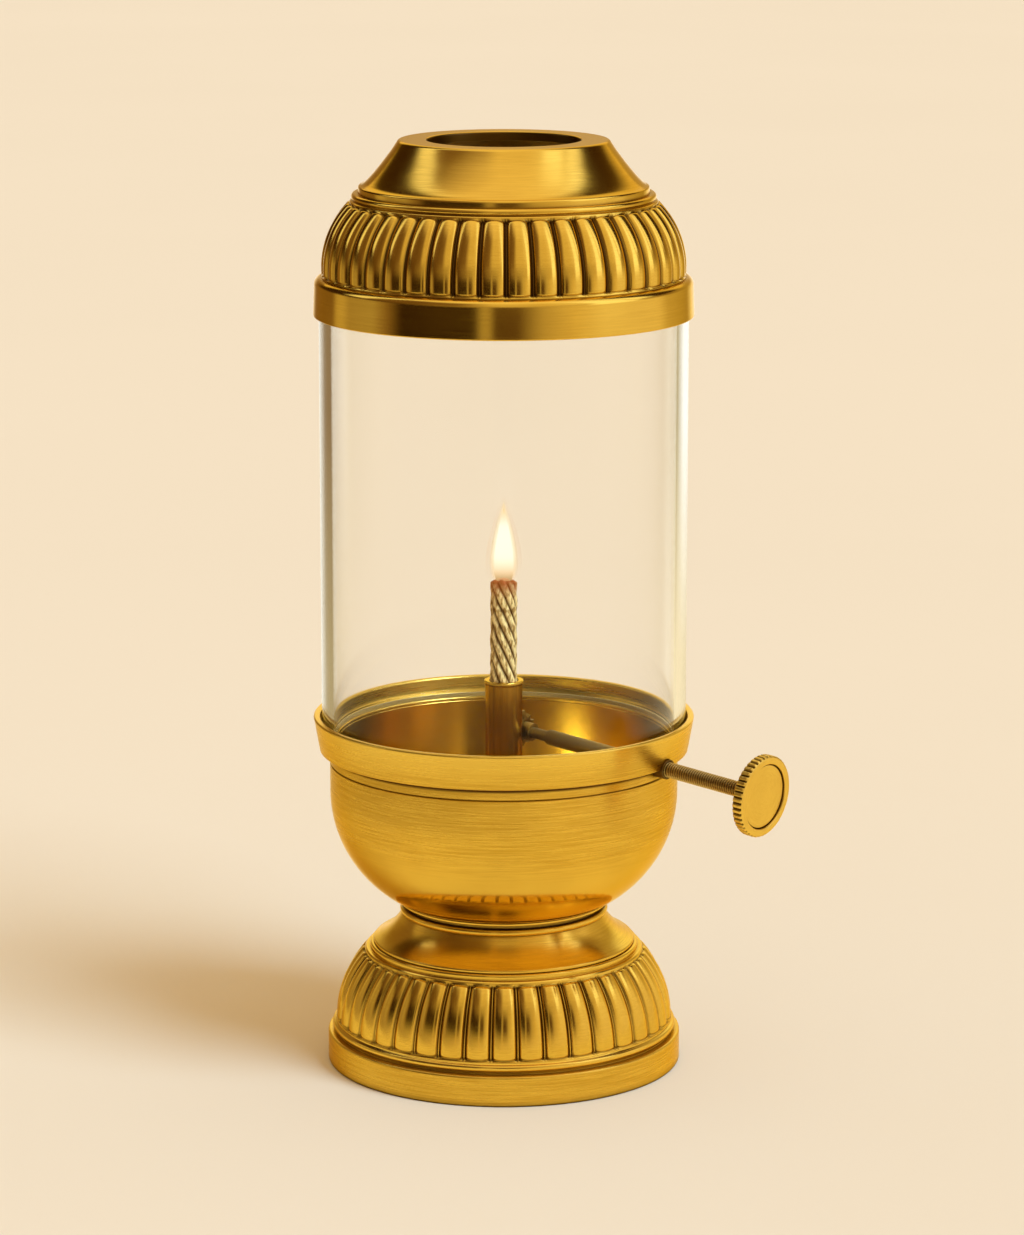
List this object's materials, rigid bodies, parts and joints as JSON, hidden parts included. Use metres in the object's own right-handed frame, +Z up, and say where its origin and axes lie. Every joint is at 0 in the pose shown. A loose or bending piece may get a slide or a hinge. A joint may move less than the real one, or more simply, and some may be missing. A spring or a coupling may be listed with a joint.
{
  "type": "oil lamp",
  "caption": "Brass akhand diya: ribbed foot, oil bowl and gallery, straight glass chimney, ribbed vent cap, and a cotton wick that a side knob raises and lowers.",
  "frame": {"origin": "on the lamp's axis, in the plane that the foot stands on", "axes": "+Z up along the lamp's axis, +X along the adjuster shaft towards its knob"},
  "size_m": [0.1093, 0.0838, 0.2044],
  "materials": {
    "brass": "brushed, antique gold",
    "plain_brass": "as machined, dull",
    "glass": "clear",
    "cotton": "twisted cotton cord",
    "fibre": "red vulcanised fibre",
    "gasket": "heat-proof silicone"
  },
  "bodies": {
    "stand": {"foot": "brass", "neck": "brass", "bowl": "brass", "gallery": "brass", "tie_bolt": "plain_brass", "foot_washer": "plain_brass", "foot_nut": "plain_brass", "floor_seal": "fibre", "stirrup": "plain_brass", "wick_tube": "brass", "tube_nut": "plain_brass", "shaft_lug": "plain_brass", "shaft_bush": "brass", "chimney_gasket": "gasket", "wick_tail": "cotton"},
    "adjuster": {"adjuster_shaft": "brass", "feed_wheel": "plain_brass", "wheel_pin": "plain_brass", "stop_collar": "plain_brass", "collar_screw": "plain_brass", "knob": "brass", "knob_face": "brass"},
    "wick": {"wick": "cotton"},
    "chimney": {"chimney_glass": "glass"},
    "cap": {"cap_band": "brass", "cap_gasket": "gasket", "cap_dome": "brass", "cap_crown": "brass"}
  },
  "joints": [
    {"name": "knob_turn", "type": "hinge", "parent": "stand", "child": "adjuster", "pos_m": [0, 0.0061, 0.07361], "axis": [-0.9969, 0, 0.0785], "range_deg": [-200, 135]},
    {"name": "wick_feed", "type": "slide", "parent": "stand", "child": "wick", "axis": [0, 0, 1], "range_m": [-0.012, 0.0082], "deforming": ["wick_tail"]},
    {"name": "chimney_lift", "type": "slide", "parent": "stand", "child": "chimney", "axis": [0, 0, 1], "range_m": [0, 0.045]},
    {"name": "cap_lift", "type": "slide", "parent": "chimney", "child": "cap", "axis": [0, 0, 1], "range_m": [0, 0.03]}
  ],
  "couplings": [
    {"joint": "wick_feed", "follows": "knob_turn", "m_per_rad": 0.0034}
  ]
}
